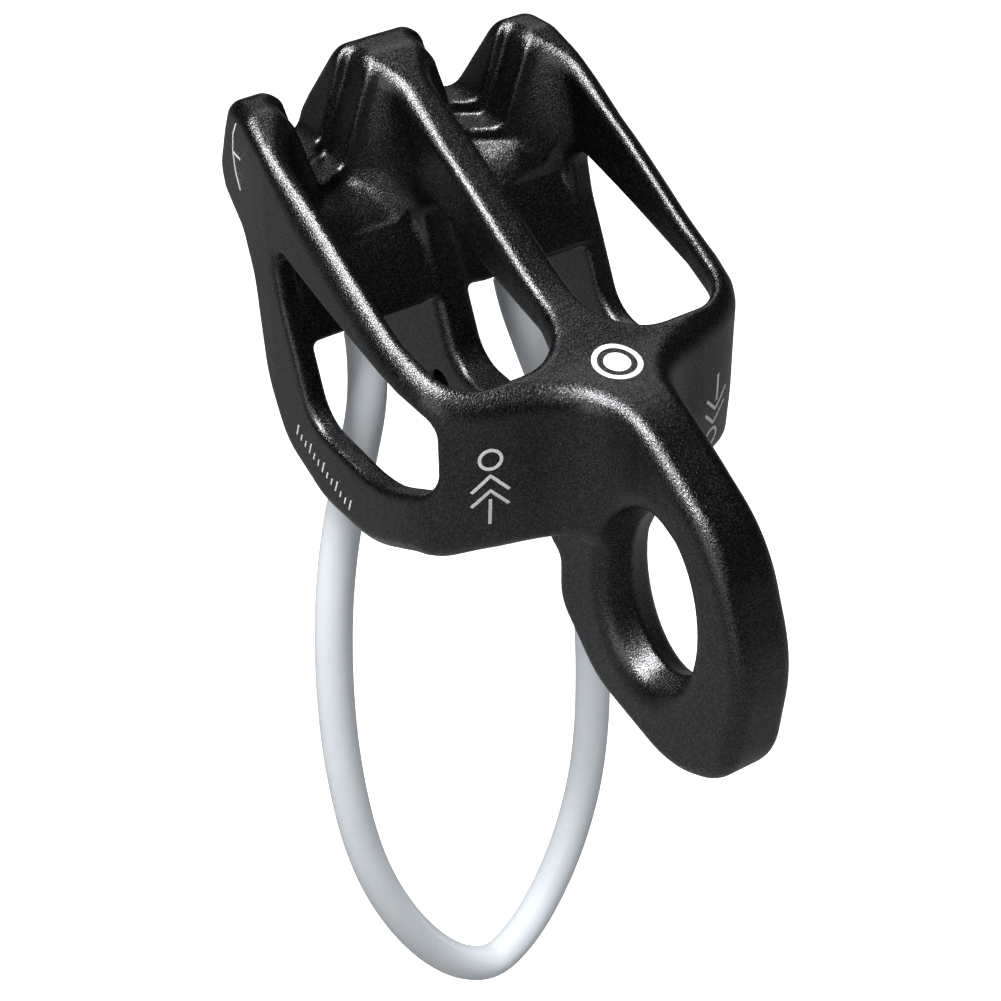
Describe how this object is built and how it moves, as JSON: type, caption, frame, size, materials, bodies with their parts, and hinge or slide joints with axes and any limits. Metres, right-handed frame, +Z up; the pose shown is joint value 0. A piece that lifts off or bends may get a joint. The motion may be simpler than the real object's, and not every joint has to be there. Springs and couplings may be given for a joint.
{
  "type": "guide mode belay device",
  "caption": "Tube belay device: forged alloy body with two rope slots, toothed V nose, windows, an anchor eye and a release hole, and a cable keeper loop.",
  "frame": {"origin": "centre of the anchor eye's hole, in the plane of symmetry", "axes": "+X across the two rope slots to the right, +Y towards the toothed nose, +Z up, away from the keeper loop"},
  "size_m": [0.0402, 0.0727, 0.1217],
  "materials": {
    "anodised_alloy": "bead-blasted and black anodised",
    "core_steel": "bright stranded steel",
    "sheath_plastic": "smooth, faintly translucent bluish white"
  },
  "bodies": {
    "body": {"body": "anodised_alloy"},
    "keeper": {"keeper_sheath": "sheath_plastic", "keeper_core": "core_steel", "swage_left": "core_steel", "swage_right": "core_steel"}
  },
  "joints": [
    {"name": "keeper_swing", "type": "hinge", "parent": "body", "child": "keeper", "pos_m": [0, 0.043, 0.0174], "axis": [1, 0, 0], "range_deg": [-20, 20], "stiffness_Nm_per_rad": 0.25}
  ]
}
